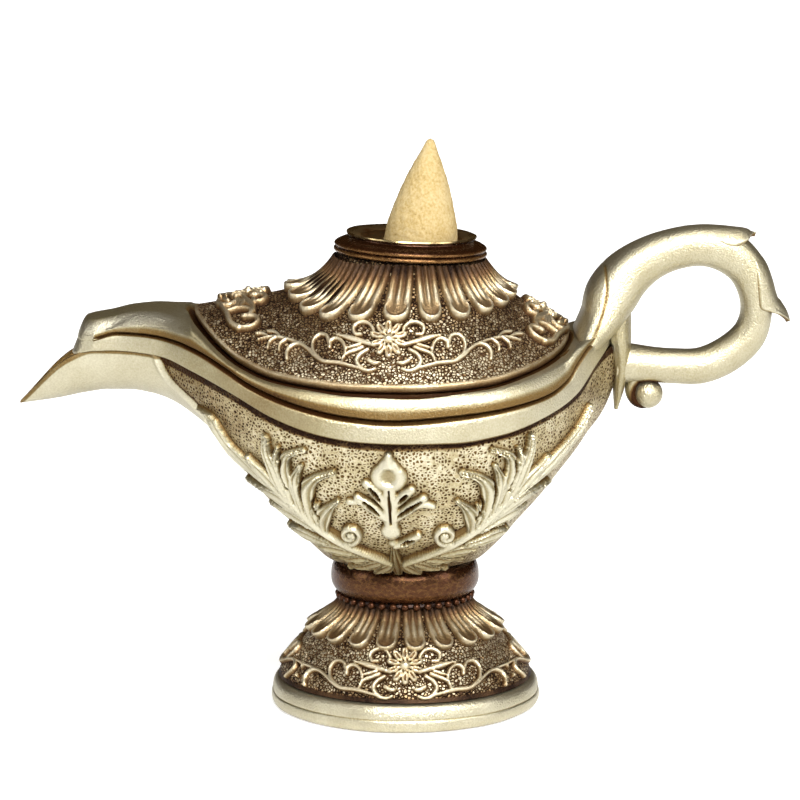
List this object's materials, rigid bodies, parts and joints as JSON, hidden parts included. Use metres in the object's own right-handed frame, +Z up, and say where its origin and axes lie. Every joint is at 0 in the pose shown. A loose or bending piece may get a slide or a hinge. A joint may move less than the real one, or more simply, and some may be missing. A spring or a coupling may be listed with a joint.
{
  "type": "backflow incense burner",
  "caption": "Oil-lamp-shaped backflow incense burner: hollow bowl on a turned foot, pouring spout, loop handle, lift-off lid with a metal cup and a cone, in antique gold",
  "frame": {"origin": "centre of the foot's underside, on the floor", "axes": "+X towards the handle, -X towards the spout, -Y front, +Y back, +Z up"},
  "size_m": [0.1648, 0.0764, 0.1237],
  "materials": {
    "pale_gold": "cast polyresin, pale gold metallic paint rubbed over a dark brown wash",
    "antique_gold": "cast polyresin with stippled ground, gold dry-brushed over dark brown",
    "bronze_brown": "cast polyresin, satin bronze-brown paint",
    "brass_cup": "pressed brass sheet, bright",
    "incense": "pressed tan incense powder, matt",
    "felt": "dark brown felt"
  },
  "bodies": {
    "lamp": {"felt_pad": "felt", "foot_plinth": "pale_gold", "foot_skirt": "antique_gold", "foot_petal_ring": "antique_gold", "bead_ring": "bronze_brown", "stem_knop": "bronze_brown", "bowl": "antique_gold", "spout_trough": "pale_gold", "rim_band_lower": "pale_gold", "rim_band_upper": "pale_gold", "handle_loop": "pale_gold", "handle_ball": "pale_gold", "handle_thumb_leaf": "pale_gold", "handle_spur_leaf": "pale_gold", "handle_root_leaf": "pale_gold", "palmette_front": "pale_gold", "palmette_back": "pale_gold", "acanthus_front_handle_side": "pale_gold", "acanthus_front_spout_side": "pale_gold", "acanthus_back_handle_side": "pale_gold", "acanthus_back_spout_side": "pale_gold", "foot_scroll_1": "antique_gold", "foot_scroll_2": "antique_gold", "foot_scroll_3": "antique_gold"},
    "lid": {"lid_shell": "antique_gold", "lid_petal_ring": "antique_gold", "lid_collar": "bronze_brown", "lid_scroll_front": "antique_gold", "lid_scroll_handle": "antique_gold", "lid_scroll_back": "antique_gold", "lid_scroll_spout": "antique_gold"},
    "cup": {"cone_cup": "brass_cup"},
    "cone": {"incense_cone": "incense"}
  },
  "joints": [
    {"name": "lid_lift", "type": "slide", "parent": "lamp", "child": "lid", "axis": [0, 0, 1], "range_m": [0, 0.045]},
    {"name": "cup_lift", "type": "slide", "parent": "lid", "child": "cup", "axis": [0.0454, 0, 0.999], "range_m": [0, 0.012]},
    {"name": "cone_lift", "type": "slide", "parent": "cup", "child": "cone", "axis": [0.0454, 0, 0.999], "range_m": [0, 0.02]}
  ]
}
